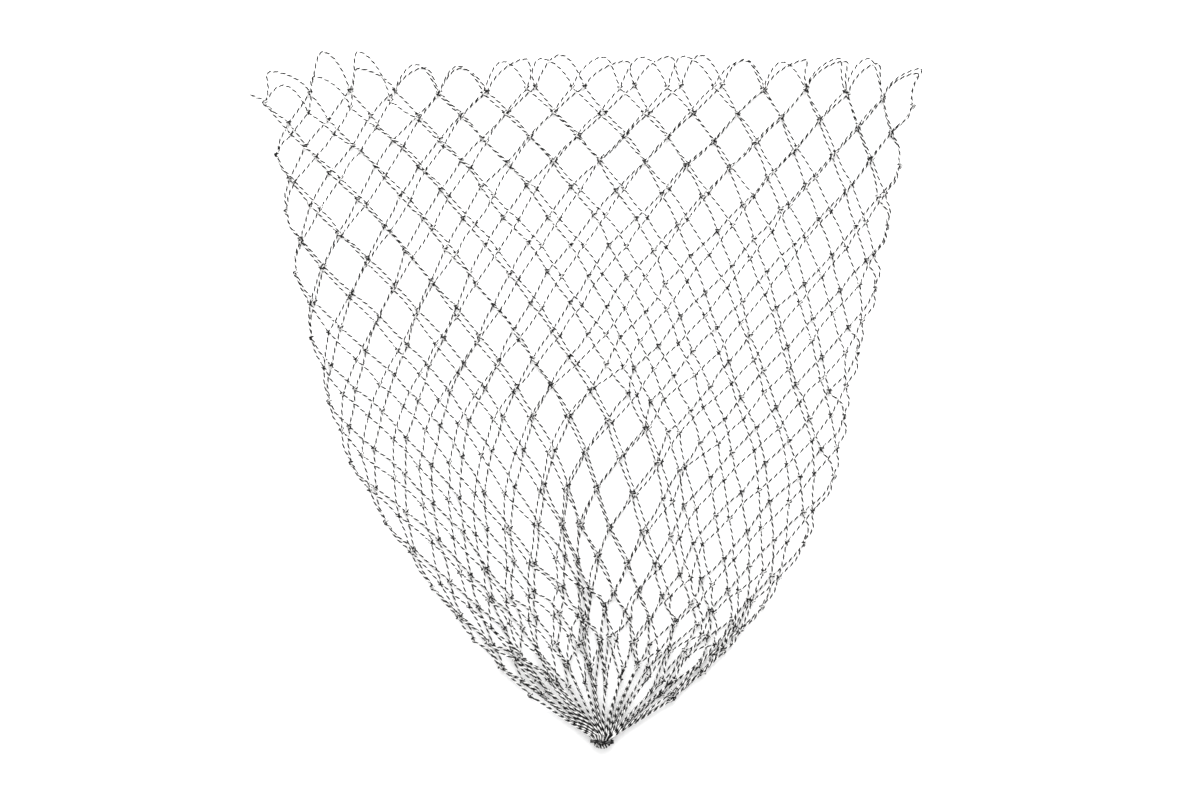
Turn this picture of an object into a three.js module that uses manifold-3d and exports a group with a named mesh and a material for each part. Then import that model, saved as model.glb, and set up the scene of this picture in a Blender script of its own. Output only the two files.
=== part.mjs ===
// A landing net bag of knotted diamond mesh, pressed flat, with free loops round its mouth
// and its closed end drawn together and tied.
// Millimetres. X runs across the bag, Y from the closed end to the mouth, Z up. The bag lies on Z = 0.
// The mouth and the side folds have every mesh of the real net, and the rest keeps every second mesh and row.

import * as THREE from 'three';
import Module from 'manifold-3d';

const wasm = await Module();
wasm.setup();

// Driving dimensions: thickness of a strand, meshes round the bag, the turn of the right side fold (the left
// one is turn 0), the last row of knots, and the row at which all strands meet in the bunch
const TWINE = 1.5;
const MESHES = 30;
const FOLD_TURN = MESHES / 2;
const LAST_KNOTS = 18;
const GATHER_ROW = 21;

// Clear height between the two layers
const LAYER_GAP = 1.7;

// A knot's crown over its strands, the least distance from its middle to where they start, and the share of
// their width that keeps neighbouring strands apart there
const KNOT_RISE = 1.2;
const KNOT_REACH = 2;
const STRAND_SPACE = 1.1;

// A knot on a side fold is a post through both layers
const FOLD_KNOT = { radius: 1.9, low: 0.5, high: 4, sides: 6 };

// Hand-made unevenness of the knots: its size, the rows over which it dies away before the bunch, and the
// waves that scatter it
const UNEVEN = { size: 1.6, fade: 4, row: 12.9898, turn: 78.233, axis: 37.719, scatter: 4375.8545 };

// How closely unevenness and shift of the layers reach up to the side folds
const FOLD_HOLD = 20;

// Outline of the flat bag, every third row of knots from the mouth down.
// Left and right are the side folds. crestY is the row's highest point, and crest its place between the
// folds, which are at -1 and 1. crowd draws meshes towards the folds, lean shifts the middle to the right.
const STATION_STEP = 3;
const STATIONS = [
  { leftX: -229, leftY: 214, rightX: 239, rightY: 212, crestY: 226, crest: 0, crowd: 0.12, lean: 0.03 },
  { leftX: -217, leftY: 157, rightX: 225, rightY: 147, crestY: 174, crest: 0, crowd: 0.12, lean: 0.03 },
  { leftX: -207, leftY: 91, rightX: 212, rightY: 80, crestY: 116, crest: 0, crowd: 0.12, lean: 0.03 },
  { leftX: -189, leftY: 21, rightX: 193, rightY: 10, crestY: 54, crest: -0.1, crowd: 0.12, lean: 0.02 },
  { leftX: -167, leftY: -46, rightX: 182, rightY: -56, crestY: -10, crest: -0.12, crowd: 0.16, lean: -0.01 },
  { leftX: -126, leftY: -111, rightX: 146, rightY: -128, crestY: -88, crest: 0.02, crowd: 0.28, lean: -0.04 },
  { leftX: -69, leftY: -187, rightX: 92, rightY: -193, crestY: -164, crest: 0, crowd: 0.28, lean: 0.01 },
  { leftX: 7, leftY: -247, rightX: 22, rightY: -247, crestY: -248, crest: 0, crowd: 0.2, lean: 0 },
];

// How roundly each row bends down from its crest to the folds
const BOW = 1.7;

// How far the front and the back layer have shifted on each other, every third row, at four places from
// left to right. SHIFT_PLACES gives them between the folds.
const SHIFT_STEP = 3;
const SHIFT_PLACES = [['left', -0.9], ['inner', -0.4], ['mid', 0.1], ['right', 0.6]];
const FRONT_SHIFTS = [
  { leftX: 5, leftY: -11, innerX: 3.5, innerY: -2, midX: -3.5, midY: 0, rightX: 0.5, rightY: 3.5 },
  { leftX: 9.5, leftY: -2, innerX: 6, innerY: -4, midX: 2.5, midY: -1, rightX: 2, rightY: -0.5 },
  { leftX: 3.5, leftY: -1, innerX: 8, innerY: -4.5, midX: 7, midY: -4, rightX: 5, rightY: -5 },
  { leftX: -4, leftY: 0, innerX: 3.5, innerY: -8, midX: 10, midY: -7.5, rightX: 8, rightY: -8 },
  { leftX: -3, leftY: 0.5, innerX: -5, innerY: -1, midX: -1, midY: -3, rightX: 2, rightY: -7 },
  { leftX: 0, leftY: 0, innerX: -1, innerY: -1, midX: -3, midY: -4, rightX: -6, rightY: -8 },
  { leftX: 0, leftY: 0, innerX: -0.5, innerY: -0.5, midX: -1.5, midY: -2, rightX: -3, rightY: -3.5 },
  { leftX: 0, leftY: 0, innerX: 0, innerY: 0, midX: 0, midY: 0, rightX: 0, rightY: 0 },
];
const BACK_SHIFTS = [
  { leftX: 4, leftY: 4.5, innerX: 6, innerY: -1, midX: 7.5, midY: 0.5, rightX: 1.5, rightY: 3.5 },
  { leftX: 0.5, leftY: 2.5, innerX: 0, innerY: 1, midX: 1, midY: -1.5, rightX: -4, rightY: -4.5 },
  { leftX: 6, leftY: 2, innerX: 0, innerY: 0.5, midX: -4, midY: -6, rightX: -8, rightY: -10 },
  { leftX: 6, leftY: 4, innerX: 5.5, innerY: -1, midX: -5, midY: -6.5, rightX: -10, rightY: -10.5 },
  { leftX: 7.5, leftY: 4, innerX: 4.5, innerY: 2, midX: -3.5, midY: -3.5, rightX: -12, rightY: -8 },
  { leftX: 8, leftY: 3, innerX: 5.5, innerY: 1.5, midX: -3.5, midY: -2.5, rightX: -14, rightY: -7 },
  { leftX: 3.5, leftY: 1.5, innerX: 2.5, innerY: 0.5, midX: -1.5, midY: -1, rightX: -6.5, rightY: -3 },
  { leftX: 0, leftY: 0, innerX: 0, innerY: 0, midX: 0, midY: 0, rightX: 0, rightY: 0 },
];

// Creases that the meshes crowd towards: the two side folds, and the middle of the lower half
const CREASES = [
  { centre: -1, width: 0.16, pull: 0.65, firstRow: 0, lastRow: 22, fade: 2 },
  { centre: -0.1, width: 0.13, pull: 0.55, firstRow: 11, lastRow: 20, fade: 3 },
  { centre: 1, width: 0.16, pull: 0.3, firstRow: 0, lastRow: 22, fade: 2 },
];

// Free loops along the mouth, from the left fold to the right one: height over the knots, and how far
// the top leans to the right. A loop is LOOP_STEPS straight bars.
const LOOPS = [
  { frontRise: 16, frontLean: -1, backRise: 19, backLean: -13 },
  { frontRise: 24, frontLean: -11, backRise: 29, backLean: -5 },
  { frontRise: 38, frontLean: -9, backRise: 16, backLean: -10 },
  { frontRise: 24, frontLean: 0, backRise: 17, backLean: 5 },
  { frontRise: 20, frontLean: -2, backRise: 17, backLean: -2 },
  { frontRise: 21, frontLean: -2, backRise: 22, backLean: 9 },
  { frontRise: 21, frontLean: -6, backRise: 23, backLean: 0 },
  { frontRise: 22, frontLean: 5, backRise: 18, backLean: 11 },
  { frontRise: 22, frontLean: -1, backRise: 21, backLean: 8 },
  { frontRise: 22, frontLean: -5, backRise: 22, backLean: -1 },
  { frontRise: 20, frontLean: 5, backRise: 20, backLean: 1 },
  { frontRise: 20, frontLean: -1, backRise: 21, backLean: 14 },
  { frontRise: 23, frontLean: 10, backRise: 22, backLean: 13 },
  { frontRise: 26, frontLean: 4, backRise: 24, backLean: 9 },
  { frontRise: 24, frontLean: 17, backRise: 21, backLean: 14 },
];
const LOOP_STEPS = 5;

// Loose end of the twine at the upper left of the mouth
const LOOSE_END = [{ x: -235, y: 216 }, { x: -241, y: 221 }];

// Closed end: where the strands point to and how far they go, sections of the gathered bunch from the fan of
// strands to its tip, which of them is the neck, and the tie round it
const GATHER = { x: 14.5, y: -246, sides: 16, square: 3, strandShare: 0.82, liftRow: 16, lift: 0.6 };
const BUNCH = [
  { y: -229, half: 23, low: 0.3, high: 6 },
  { y: -238, half: 14, low: 0.3, high: 7.4 },
  { y: -244.6, half: 6.8, low: 1.85, high: 9.2 },
  { y: -250.4, half: 6.8, low: 1.85, high: 9.2 },
  { y: -251.6, half: 7.4, low: 1.2, high: 9.6 },
  { y: -253, half: 5, low: 2.4, high: 8.2 },
];
const NECK = 2;
const TIE = { y: -247.5, clear: 0.35, band: 4.5, steps: 28, sides: 8 };

// Catmull-Rom through a column of a table whose lines are evenly spaced rows of knots
function smoothAt(table, step, column, row) {
  const last = table.length - 1;
  const place = Math.min(Math.max(row / step, 0), last);
  const i = Math.min(Math.floor(place), last - 1);
  const s = place - i;
  const at = (k) => table[k][column];
  const b = at(i);
  const c = at(i + 1);
  const a = i > 0 ? at(i - 1) : 2 * b - c;
  const d = i + 2 <= last ? at(i + 2) : 2 * c - b;
  const linear = (c - a) * s;
  const square = (2 * a - 5 * b + 4 * c - d) * s * s;
  const cube = (3 * b - a - 3 * c + d) * s * s * s;
  return b + (linear + square + cube) / 2;
}

// A repeatable value from -1 to 1 for each knot, one along X (axis 1) and another along Y (axis 2)
function unevenAt(row, turn, axis) {
  const wave = Math.sin(row * UNEVEN.row + turn * UNEVEN.turn + axis * UNEVEN.axis) * UNEVEN.scatter;
  return 2 * (wave - Math.floor(wave)) - 1;
}

// Squeezes the meshes beside each crease towards it
function creased(across, row) {
  let u = across;
  for (const { centre, width, pull, firstRow, lastRow, fade } of CREASES) {
    const from = THREE.MathUtils.clamp((row - firstRow) / fade, 0, 1);
    const until = THREE.MathUtils.clamp((lastRow - row) / fade, 0, 1);
    const s = (across - centre) / width;
    u -= pull * from * until * width * s * Math.exp(-s * s);
  }
  return u;
}

// Shift of a layer: straight from each place to the next, and even from the outer ones to the folds
function layerShift(shifts, axis, u, row) {
  const at = (place) => smoothAt(shifts, SHIFT_STEP, `${place}${axis}`, row);
  let total = at(SHIFT_PLACES[0][0]);
  for (let i = 1; i < SHIFT_PLACES.length; i += 1) {
    const [near, from] = SHIFT_PLACES[i - 1];
    const [far, to] = SHIFT_PLACES[i];
    total += THREE.MathUtils.clamp((u - from) / (to - from), 0, 1) * (at(far) - at(near));
  }
  return total;
}

// Plan position of the net at a row and a turn: turn 0 is the left fold, FOLD_TURN the right fold, and
// the back layer runs from there to MESHES, which is the left fold again.
function netPoint(row, turn) {
  const back = turn > FOLD_TURN;
  const across = ((back ? MESHES - turn : turn) / FOLD_TURN) * 2 - 1;
  const u = creased(across, row);
  const at = (column) => smoothAt(STATIONS, STATION_STEP, column, row);
  const spread = u * (1 + at('crowd')) - at('crowd') * u ** 3 + at('lean') * (1 - u * u);
  const crest = at('crest');
  const foldY = u < crest ? at('leftY') : at('rightY');
  const fromCrest = Math.abs(u - crest) / (u < crest ? 1 + crest : 1 - crest);
  const x = (at('leftX') + at('rightX')) / 2 + ((at('rightX') - at('leftX')) / 2) * spread;
  const y = at('crestY') + (foldY - at('crestY')) * fromCrest ** BOW;
  const shifts = back ? BACK_SHIFTS : FRONT_SHIFTS;
  const uneven = UNEVEN.size * Math.min(1, (GATHER_ROW - row) / UNEVEN.fade);
  const inside = 1 - u ** FOLD_HOLD;
  return {
    x: x + inside * (layerShift(shifts, 'X', u, row) + uneven * unevenAt(row, turn, 1)),
    y: y + inside * (layerShift(shifts, 'Y', u, row) + uneven * unevenAt(row, turn, 2)),
  };
}

// Underside of a layer: the back one lies on the surface, the front one above it, rising to the bunch
function layerZ(front, row) {
  if (!front) return 0;
  const t = THREE.MathUtils.smoothstep(row, GATHER.liftRow, GATHER_ROW);
  return TWINE + LAYER_GAP + GATHER.lift * t;
}

// One layer as a graph of knots, bends and ends that are joined by straight bars
function layerGraph(front) {
  const firstTurn = front ? 0 : FOLD_TURN;
  const lastTurn = firstTurn + FOLD_TURN;
  const inLayer = (turn) => turn >= firstTurn && turn <= lastTurn;
  const nodes = [];
  const knots = new Map();
  const addNode = (point, z, bend) => {
    const made = { x: point.x, y: point.y, z, bend, arms: [], index: nodes.length };
    nodes.push(made);
    return made;
  };
  const knot = (row, turn) => {
    const key = `${row},${turn}`;
    if (!knots.has(key)) knots.set(key, addNode(netPoint(row, turn), layerZ(front, row), false));
    return knots.get(key);
  };
  const join = (a, b) => {
    a.arms.push({ to: b });
    b.arms.push({ to: a });
  };

  // Mouth loops, and the first two rows at the real pitch
  for (let turn = firstTurn; turn < lastTurn; turn += 1) {
    const loop = LOOPS[front ? turn : MESHES - 1 - turn];
    const rise = front ? loop.frontRise : loop.backRise;
    const lean = front ? loop.frontLean : loop.backLean;
    const start = knot(0, turn);
    const end = knot(0, turn + 1);
    let before = start;
    for (let i = 1; i < LOOP_STEPS; i += 1) {
      const t = i / LOOP_STEPS;
      const x = start.x + (end.x - start.x) * t + lean * Math.sin(Math.PI * t) ** 2;
      const y = start.y + (end.y - start.y) * t + rise * (1 - (2 * t - 1) ** 2);
      const bend = addNode({ x, y }, start.z, true);
      join(before, bend);
      before = bend;
    }
    join(before, end);
    const below = knot(1, turn + 0.5);
    join(start, below);
    join(end, below);
    join(below, knot(2, turn % 2 === 1 ? turn : turn + 1));
  }

  // The rest of the bag at twice the pitch, down to the strands that run into the bunch
  const onFold = (turn) => turn === firstTurn || turn === lastTurn;
  for (let row = 2; row <= LAST_KNOTS; row += 2) {
    for (let turn = firstTurn; turn <= lastTurn; turn += 1) {
      const kept = turn % 2 === (row / 2) % 2;
      if (!kept && (!onFold(turn) || row === LAST_KNOTS)) continue;
      const upper = knot(row, turn);
      const inner = turn === firstTurn ? turn + 0.5 : turn - 0.5;
      if (!kept) join(knot(row - 1, inner), upper);
      if (row === LAST_KNOTS) {
        const x = upper.x + (GATHER.x - upper.x) * GATHER.strandShare;
        const y = upper.y + (GATHER.y - upper.y) * GATHER.strandShare;
        join(upper, addNode({ x, y }, layerZ(front, GATHER_ROW), false));
        continue;
      }
      if (!kept) {
        join(upper, knot(row + 1, inner));
        continue;
      }
      for (const next of [turn - 1, turn + 1]) {
        if (!inLayer(next)) continue;
        const lower = knot(row + 2, next);
        if (onFold(turn) || onFold(next)) {
          const middle = knot(row + 1, (turn + next) / 2);
          join(upper, middle);
          join(middle, lower);
        } else {
          join(upper, lower);
        }
      }
    }
  }

  if (!front) {
    let before = knot(0, MESHES);
    for (const [i, point] of LOOSE_END.entries()) {
      const after = addNode(point, 0, i < LOOSE_END.length - 1);
      join(before, after);
      before = after;
    }
  }
  return { nodes, knots };
}

function middleOf(ring) {
  const sum = ring.reduce((total, p) => ({ x: total.x + p.x, y: total.y + p.y }));
  return { x: sum.x / ring.length, y: sum.y / ring.length };
}

// Skins a layer's graph: every bar is a square-sectioned strand, and every knot a flat-bottomed pad with a
// raised crown that its bars grow out of
function skin(nodes) {
  const half = TWINE / 2;
  const points = [];
  const faces = [];
  const post = (x, y, z) => {
    points.push(x, y, z, x, y, z + TWINE);
    const low = points.length / 3 - 2;
    return { x, y, low, high: low + 1 };
  };
  const wall = (p, q) => faces.push(p.low, q.low, q.high, p.low, q.high, p.high);

  for (const node of nodes) {
    for (const arm of node.arms) {
      const length = Math.hypot(arm.to.x - node.x, arm.to.y - node.y);
      arm.length = length;
      arm.dx = (arm.to.x - node.x) / length;
      arm.dy = (arm.to.y - node.y) / length;
      arm.angle = Math.atan2(arm.dy, arm.dx);
    }
    node.arms.sort((a, b) => a.angle - b.angle);
    const count = node.arms.length;
    if (node.bend) {
      const [a, b] = node.arms;
      const length = Math.hypot(a.dx - b.dx, a.dy - b.dy);
      const tx = (a.dx - b.dx) / length;
      const ty = (a.dy - b.dy) / length;
      a.right = post(node.x + half * ty, node.y - half * tx, node.z);
      a.left = post(node.x - half * ty, node.y + half * tx, node.z);
      b.right = a.left;
      b.left = a.right;
      continue;
    }
    let reach = count > 1 ? KNOT_REACH : 0;
    for (let i = 0; i < count && count > 1; i += 1) {
      const turn = (node.arms[(i + 1) % count].angle - node.arms[i].angle + 2 * Math.PI) % (2 * Math.PI);
      if (turn < Math.PI) reach = Math.max(reach, (STRAND_SPACE * half) / Math.tan(turn / 2));
    }
    node.ring = [];
    for (const arm of node.arms) {
      const x = node.x + reach * arm.dx;
      const y = node.y + reach * arm.dy;
      arm.right = post(x + half * arm.dy, y - half * arm.dx, node.z);
      arm.left = post(x - half * arm.dy, y + half * arm.dx, node.z);
      node.ring.push(arm.right, arm.left);
    }
    for (let i = 0; i < count; i += 1) wall(node.arms[i].left, node.arms[(i + 1) % count].right);
    if (count < 2) continue;
    const ring = node.ring;
    const mid = middleOf(ring);
    const crown = points.length / 3;
    points.push(mid.x, mid.y, node.z + TWINE + KNOT_RISE, mid.x, mid.y, node.z);
    ring.forEach((p, i) => {
      const q = ring[(i + 1) % ring.length];
      faces.push(crown, p.high, q.high, crown + 1, q.low, p.low);
    });
  }

  for (const node of nodes) {
    for (const arm of node.arms) {
      if (arm.to.index < node.index) continue;
      const other = arm.to.arms.find((a) => a.to === node);
      const [a, b, c, d] = [arm.right, other.left, other.right, arm.left];
      wall(a, b);
      wall(c, d);
      faces.push(a.high, b.high, c.high, a.high, c.high, d.high);
      faces.push(a.low, c.low, b.low, a.low, d.low, c.low);
    }
  }
  return solidOf(points, faces);
}

// A closed surface on a grid of points: columns wrap round, rows either wrap round too or end in flat caps
function gridSolid(rows, columns, pointAt, ring) {
  const points = [];
  const faces = [];
  for (let i = 0; i < rows; i += 1) {
    for (let j = 0; j < columns; j += 1) points.push(...pointAt(i, j));
  }
  const at = (i, j) => (i % rows) * columns + (j % columns);
  for (let i = 0; i < (ring ? rows : rows - 1); i += 1) {
    for (let j = 0; j < columns; j += 1) {
      faces.push(at(i, j), at(i + 1, j), at(i + 1, j + 1), at(i, j), at(i + 1, j + 1), at(i, j + 1));
    }
  }
  for (let j = 1; j < columns - 1 && !ring; j += 1) {
    faces.push(at(0, 0), at(0, j), at(0, j + 1));
    faces.push(at(rows - 1, 0), at(rows - 1, j + 1), at(rows - 1, j));
  }
  return solidOf(points, faces);
}

function solidOf(points, faces) {
  const vertProperties = new Float32Array(points);
  const triVerts = new Uint32Array(faces);
  return new wasm.Manifold(new wasm.Mesh({ numProp: 3, vertProperties, triVerts }));
}

function geometryOf(solid) {
  const mesh = solid.getMesh();
  const geometry = new THREE.BufferGeometry();
  geometry.setAttribute('position', new THREE.BufferAttribute(mesh.vertProperties, 3));
  geometry.setIndex(new THREE.BufferAttribute(mesh.triVerts, 1));
  geometry.computeVertexNormals();
  return geometry;
}

// The knots on the side folds hold the two layers together
function foldKnots(knots) {
  const { radius, low, high, sides } = FOLD_KNOT;
  const rings = [low, high];
  const made = [];
  for (const [key, node] of knots) {
    const turn = Number(key.split(',')[1]);
    if (turn !== 0 && turn !== FOLD_TURN) continue;
    const mid = middleOf(node.ring);
    made.push(gridSolid(rings.length, sides, (i, j) => {
      const angle = (-2 * Math.PI * j) / sides;
      return [mid.x + radius * Math.cos(angle), mid.y + radius * Math.sin(angle), rings[i]];
    }, false));
  }
  return made;
}

// Turns the sine or cosine of a circle into that of a rounded square
function squared(v) {
  return Math.sign(v) * Math.abs(v) ** (2 / GATHER.square);
}

// The bunch of drawn-together strands: rounded-square sections along Y
function bunch() {
  return gridSolid(BUNCH.length, GATHER.sides, (i, j) => {
    const { y, half, low, high } = BUNCH[i];
    const angle = (-2 * Math.PI * j) / GATHER.sides;
    const z = (low + high) / 2 + ((high - low) / 2) * squared(Math.sin(angle));
    return [GATHER.x + half * squared(Math.cos(angle)), y, z];
  }, false);
}

// The tie: a flat band of twine turns round the neck of the bunch, just clear of it
function tie() {
  const neck = BUNCH[NECK];
  const out = TIE.clear + TWINE / 2;
  return gridSolid(TIE.steps, TIE.sides, (i, j) => {
    const angle = (2 * Math.PI * i) / TIE.steps;
    const section = (-2 * Math.PI * j) / TIE.sides;
    const grow = out + (TWINE / 2) * Math.cos(section);
    const x = (neck.half + grow) * squared(Math.cos(angle));
    const z = (neck.low + neck.high) / 2 + ((neck.high - neck.low) / 2 + grow) * squared(Math.sin(angle));
    return [GATHER.x + x, TIE.y + (TIE.band / 2) * Math.sin(section), z];
  }, true);
}

function netBag() {
  const front = layerGraph(true);
  const back = layerGraph(false);
  let solid = skin(front.nodes).add(skin(back.nodes));
  for (const knot of foldKnots(front.knots)) solid = solid.add(knot);
  return solid.add(bunch());
}

const netLook = new THREE.MeshStandardMaterial({ color: 0x8a8a88, roughness: 0.75, metalness: 0 });
const tieLook = new THREE.MeshStandardMaterial({ color: 0x2e2e2e, roughness: 0.75, metalness: 0 });

const net = new THREE.Group();
for (const [name, solid, look] of [['net_bag', netBag(), netLook], ['draw_twine', tie(), tieLook]]) {
  const mesh = new THREE.Mesh(geometryOf(solid), look);
  mesh.name = name;
  net.add(mesh);
}

export default net;
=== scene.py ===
"""A landing net bag of knotted two-ply twine that lies pressed flat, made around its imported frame."""

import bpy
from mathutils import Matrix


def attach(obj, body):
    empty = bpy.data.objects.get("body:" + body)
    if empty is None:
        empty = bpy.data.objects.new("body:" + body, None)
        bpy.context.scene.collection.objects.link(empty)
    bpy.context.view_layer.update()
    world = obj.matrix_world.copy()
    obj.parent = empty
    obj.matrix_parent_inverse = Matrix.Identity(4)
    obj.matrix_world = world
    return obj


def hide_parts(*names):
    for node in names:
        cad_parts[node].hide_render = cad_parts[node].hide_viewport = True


bl_info = {
    "name": "Knotted net bag",
    "version": (1, 0, 0),
    "blender": (4, 5, 0),
    "location": "View3D > Sidebar > Net bag",
    "description": "Knots a landing net bag from two-ply twine around its packed frame",
    "category": "Add Mesh",
}

import bpy
import numpy as np
from bpy.props import FloatProperty, FloatVectorProperty, PointerProperty

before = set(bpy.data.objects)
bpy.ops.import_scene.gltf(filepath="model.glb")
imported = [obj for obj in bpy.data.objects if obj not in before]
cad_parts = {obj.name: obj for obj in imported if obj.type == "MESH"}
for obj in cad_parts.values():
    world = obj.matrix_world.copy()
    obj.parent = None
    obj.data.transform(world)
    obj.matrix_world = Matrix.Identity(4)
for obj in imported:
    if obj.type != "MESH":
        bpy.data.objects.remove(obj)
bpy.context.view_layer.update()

# Names in the frame: the body, and the two nodes with their material slots.
BODY = "root"
NET_NODE, NET_SLOT = "net_bag", "net_twine"
TIE_NODE, TIE_SLOT = "draw_twine", "tie_twine"

# The tables below are in millimetres, and the meshes in metres. Lengths under TINY count as nothing.
MM = 0.001
TINY = 1e-9

# Meshes round the bag, the turn of its right side fold (the left one is turn 0), rows of meshes down to
# the drawn end, and rows that make one piece.
MESHES = 30
FOLD = MESHES // 2
ROWS = 21
PIECE_ROWS = 4

# Outline of the flat bag at every third row of knots. The columns are the left fold's x and y, the right
# fold's x and y, the row's highest y, the place of that crest between the folds at -1 and 1, how strongly
# the meshes crowd towards the folds, and how far the middle leans to the right.
STATION_STEP = 3
STATIONS = np.array([
    (-229, 214, 239, 212, 226, 0, 0.12, 0.03),
    (-217, 157, 225, 147, 174, 0, 0.12, 0.03),
    (-207, 91, 212, 80, 116, 0, 0.12, 0.03),
    (-189, 21, 193, 10, 54, -0.1, 0.12, 0.02),
    (-167, -46, 182, -56, -10, -0.12, 0.16, -0.01),
    (-126, -111, 146, -128, -88, 0.02, 0.18, -0.04),
    (-67, -186, 92, -193, -164, 0, 0.25, 0.01),
    (4, -249, 25, -249, -249, 0, 0.4, 0),
])

# A row falls from its crest to the folds by the distance to the power of BOW. Shifts and chance fade out
# at the folds by the distance from the middle to the power of FOLD_HOLD.
BOW = 1.7
FOLD_HOLD = 20

# Shift of the front and the back layer at every third row: x and y at the four places between the folds
# that SHIFT_AT lists.
SHIFT_STEP = 3
SHIFT_AT = (-0.9, -0.4, 0.1, 0.6)
FRONT_SHIFTS = np.array([
    (5, -11, 3.5, -2, -3.5, 0, 0.5, 3.5),
    (9.5, -2, 6, -4, 2.5, -1, 2, -0.5),
    (3.5, -1, 8, -4.5, 7, -4, 5, -5),
    (-4, 0, 3.5, -8, 10, -7.5, 8, -8),
    (-3, 0.5, -5, -1, -1, -3, 2, -7),
    (0, 0, -1, -1, -3, -4, 0, -5),
    (-1, -1, -1, -1, -1.5, -2, 4, 2),
    (0, 0, 0, 0, 0, 0, 0, 0),
])
BACK_SHIFTS = np.array([
    (4, 4.5, 6, -1, 7.5, 0.5, 1.5, 3.5),
    (0.5, 2.5, 0, 1, 1, -1.5, -4, -4.5),
    (6, 2, 0, 0.5, -4, -6, -8, -10),
    (6, 4, 5.5, -1, -5, -6.5, -10, -10.5),
    (7.5, 4, 4.5, 2, -3.5, -3.5, -12, -8),
    (6, 2.5, 5, 1, -3.5, -2.5, -8, -4),
    (1, 0, 2, 0, -1.5, -1, 0.5, 2.5),
    (0, 0, 0, 0, 0, 0, 0, 0),
])

# Creases that the meshes crowd towards: the left fold above and below, the middle of the lower half, one
# that slants from the middle to the right, and the right fold above and below. The columns are the place
# between the folds in the first row, how far it moves from row to row, half width, pull, first and last
# row, and the rows in which it fades.
CREASES = np.array([
    (-1, 0, 0.16, 0.65, 0, 15, 3),
    (-1, 0, 0.12, 0.8, 12, 24, 3),
    (-0.09, 0.006, 0.17, 0.7, 13, 22, 4),
    (0, 0.065, 0.14, 0.35, 8, 18, 3),
    (1, 0, 0.16, 0.3, 0, 16, 3),
    (1, 0, 0.35, 0.65, 13, 24, 4),
])

# The last row of meshes is drawn out long: from row LONG_FIRST on, knots lag behind the outline's rows by
# up to LONG_LAST rows, and by chance more or less by the share LONG_UNEVEN.
LONG_FIRST, LONG_LAST, LONG_UNEVEN = 16, 0.8, 0.35

# Chance is a wave of row, turn and a number for each use. The bends of strands take two numbers each, for
# x and y.
SCATTER_ROW, SCATTER_TURN, SCATTER_USE, SCATTER = 12.9898, 78.233, 37.719, 4375.8545
CHANCE_X, CHANCE_Y, CHANCE_DOWN, CHANCE_UP, CHANCE_LAG, CHANCE_START = 1, 2, 3, 5, 7, 9

# Rows between which the meshes close up. Unevenness of the knots' places, and how much is added as the
# meshes close.
CLOSING_FIRST, CLOSING_LAST = 14, 18
UNEVEN, CLOSING_UNEVEN = 1.6, 2.2

# How far strands bend to either side by chance, how much is added as the meshes close, how far the
# strands at the left and the right fold bend outwards, and the last rows in which all bends fade.
SWAY, CLOSING_SWAY, LEFT_BEND, RIGHT_BEND = 0.9, 1.3, -2.0, 3.4
BEND_FADE = 4

# Mouth loops from the left fold to the right one: the front loop's rise and lean, the back loop's rise
# and lean.
LOOPS = np.array([
    (16, -1, 19, -13),
    (24, -11, 29, -5),
    (38, -9, 16, -10),
    (24, 0, 17, 5),
    (20, -2, 17, -2),
    (21, -2, 22, 9),
    (21, -6, 23, 0),
    (22, 5, 18, 11),
    (22, -1, 21, 8),
    (22, -5, 22, -1),
    (20, 5, 20, 1),
    (20, -1, 21, 14),
    (23, 10, 22, 13),
    (26, 4, 24, 9),
    (24, 17, 21, 14),
], float)

# Shares of a loop's way from knot to knot: its control points, and the two points that tell how it leaves
# its knots.
LOOP_POINTS = np.linspace(0.08, 0.92, 13)
LOOP_NEAR = np.array([0.02, 0.98])

# Heights of the knots' middles in the two layers, and of the bights in the neck, to which they rise from
# row RISE_ROW on. How far strands in the two layers and loops sag between knots.
BACK_KNOT, FRONT_KNOT = 2.4, 5.5
BACK_BIGHT, FRONT_BIGHT = 3.7, 7.3
RISE_ROW = 17
BACK_SAG, FRONT_SAG, LOOP_SAG = 1.15, 0.7, 1.1

# A knot is a sheet bend. In its own axes, x along the row, y towards the mouth and z out of the bag, the
# bight hangs down from the row above and the hitch of the row below comes up behind it, goes round its
# neck and leaves in front.
KNOT_SIZE = (1.05, 1.05, 1.0)
BIGHT = KNOT_SIZE * np.array([
    (-0.75, 1.2, 0),
    (-0.8, -0.3, 0),
    (0, -2.1, 0),
    (0.8, -0.3, 0),
    (0.75, 1.2, 0),
])
HITCH = KNOT_SIZE * np.array([
    (-0.6, -1.8, -1.1),
    (-0.3, -0.9, 0.4),
    (0.1, 0.0, 1.8),
    (1.0, 0.6, 1.6),
    (2.0, 0.8, 0.2),
    (1.2, 0.8, -1.4),
    (-1.2, 0.8, -1.4),
    (-2.0, 0.6, 0.1),
    (-0.7, 0.2, 1.1),
    (0.6, -0.7, 1.0),
    (1.2, -1.8, 0.7),
])

# Distance from a knot's middle to the ends of its strands, and how much thinner the twine is in a knot.
LEG = 3.4
KNOT_SQUEEZE = 0.08

# Rings of the swept twine between two control points, in knots, in strands, in the long strands of the
# last row and in loops.
KNOT_RINGS, STRAND_RINGS, DRAWN_RINGS, LOOP_RINGS = 2, 8, 14, 6

# The drawn end: the neck's middle, how far the bights spread where they enter it and at their tips, the y
# of its entry and of the middle bight's tip, how much shorter the outer bights are, and half the width of
# a bight.
NECK_X, NECK_SPREAD, TIP_SPREAD, NECK_ENTRY, NECK_TIP, NECK_ROUND = 14.5, 7.2, 5.6, -244.0, -250.6, 2.4
BIGHT_SPLIT = 0.8

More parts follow.
